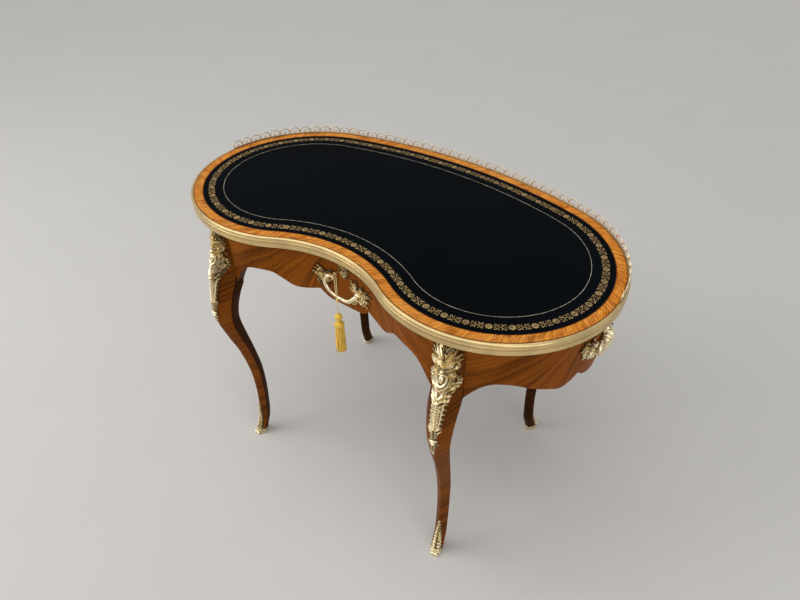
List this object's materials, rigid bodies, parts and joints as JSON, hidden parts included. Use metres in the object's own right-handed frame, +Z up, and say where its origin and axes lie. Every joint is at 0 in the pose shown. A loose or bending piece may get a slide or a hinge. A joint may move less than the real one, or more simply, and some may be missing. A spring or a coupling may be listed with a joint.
{
  "type": "kidney shaped writing desk",
  "caption": "Kidney shaped writing desk with leather top, pierced brass gallery, front drawer with lock and tasselled key, and cabriole legs with gilt mounts.",
  "frame": {"origin": "on the floor under the centre of the desk's bounding box", "axes": "+X to the sitter's right along the length, +Y to the back, away from the sitter, +Z up"},
  "size_m": [1.1024, 0.6354, 0.7845],
  "materials": {
    "kingwood": "polished veneer",
    "tulipwood": "polished crossbanding",
    "carcase_wood": "plain waxed",
    "leather": "black, gilt tooled",
    "brass": "polished",
    "gilt_bronze": "cast, aged gilding",
    "steel": "plain",
    "silk": "twisted and fringed"
  },
  "bodies": {
    "root": {"top_board": "carcase_wood", "top_crossband": "tulipwood", "leather_top": "leather", "edge_moulding": "brass", "edge_moulding_pins": "brass", "gallery": "brass", "gallery_studs": "brass", "apron_front_left": "kingwood", "apron_front_right": "kingwood", "apron_left_end": "kingwood", "apron_right_end": "kingwood", "apron_back": "kingwood", "end_handle_left": "gilt_bronze", "end_handle_right": "gilt_bronze", "end_handle_screws": "steel", "drawer_guide_left": "carcase_wood", "drawer_guide_right": "carcase_wood", "drawer_kicker_left": "carcase_wood", "drawer_kicker_right": "carcase_wood", "corner_blocks": "carcase_wood", "top_screws": "steel", "drawer_stops": "carcase_wood", "lock_keep": "brass", "lock_keep_screws": "steel", "leg_front_left": "kingwood", "knee_mount_front_left": "gilt_bronze", "sabot_front_left": "gilt_bronze", "leg_front_right": "kingwood", "knee_mount_front_right": "gilt_bronze", "sabot_front_right": "gilt_bronze", "leg_back_left": "kingwood", "knee_mount_back_left": "gilt_bronze", "sabot_back_left": "gilt_bronze", "leg_back_right": "kingwood", "knee_mount_back_right": "gilt_bronze", "sabot_back_right": "gilt_bronze"},
    "drawer": {"drawer_front": "kingwood", "drawer_side_left": "carcase_wood", "drawer_side_right": "carcase_wood", "drawer_back": "carcase_wood", "drawer_bottom": "carcase_wood", "drawer_handle": "gilt_bronze", "drawer_handle_screws": "steel", "escutcheon": "gilt_bronze", "lock_case": "steel", "lock_screws": "steel"},
    "key": {"key": "brass"},
    "lock_bolt": {"lock_bolt": "steel"},
    "tassel": {"tassel_loop": "silk", "tassel_knot": "silk", "tassel_strand": "silk", "tassel_head": "silk", "tassel_ruff": "silk", "tassel_skirt": "silk"}
  },
  "joints": [
    {"name": "drawer_slide", "type": "slide", "parent": "root", "child": "drawer", "axis": [0, -1, 0], "range_m": [0, 0.25]},
    {"name": "key_turn", "type": "hinge", "parent": "drawer", "child": "key", "pos_m": [0, -0.20946, 0.712], "axis": [0, 1, 0], "range_deg": [0, 180]},
    {"name": "lock_bolt_throw", "type": "slide", "parent": "drawer", "child": "lock_bolt", "axis": [0, 0, 1], "range_m": [0, 0.008]},
    {"name": "tassel_swing", "type": "hinge", "parent": "drawer", "child": "tassel", "pos_m": [0, -0.20946, 0.712], "axis": [0, 1, 0], "range_deg": [-25, 25]}
  ],
  "couplings": [
    {"joint": "lock_bolt_throw", "follows": "key_turn", "m_per_rad": 0.0025464}
  ]
}
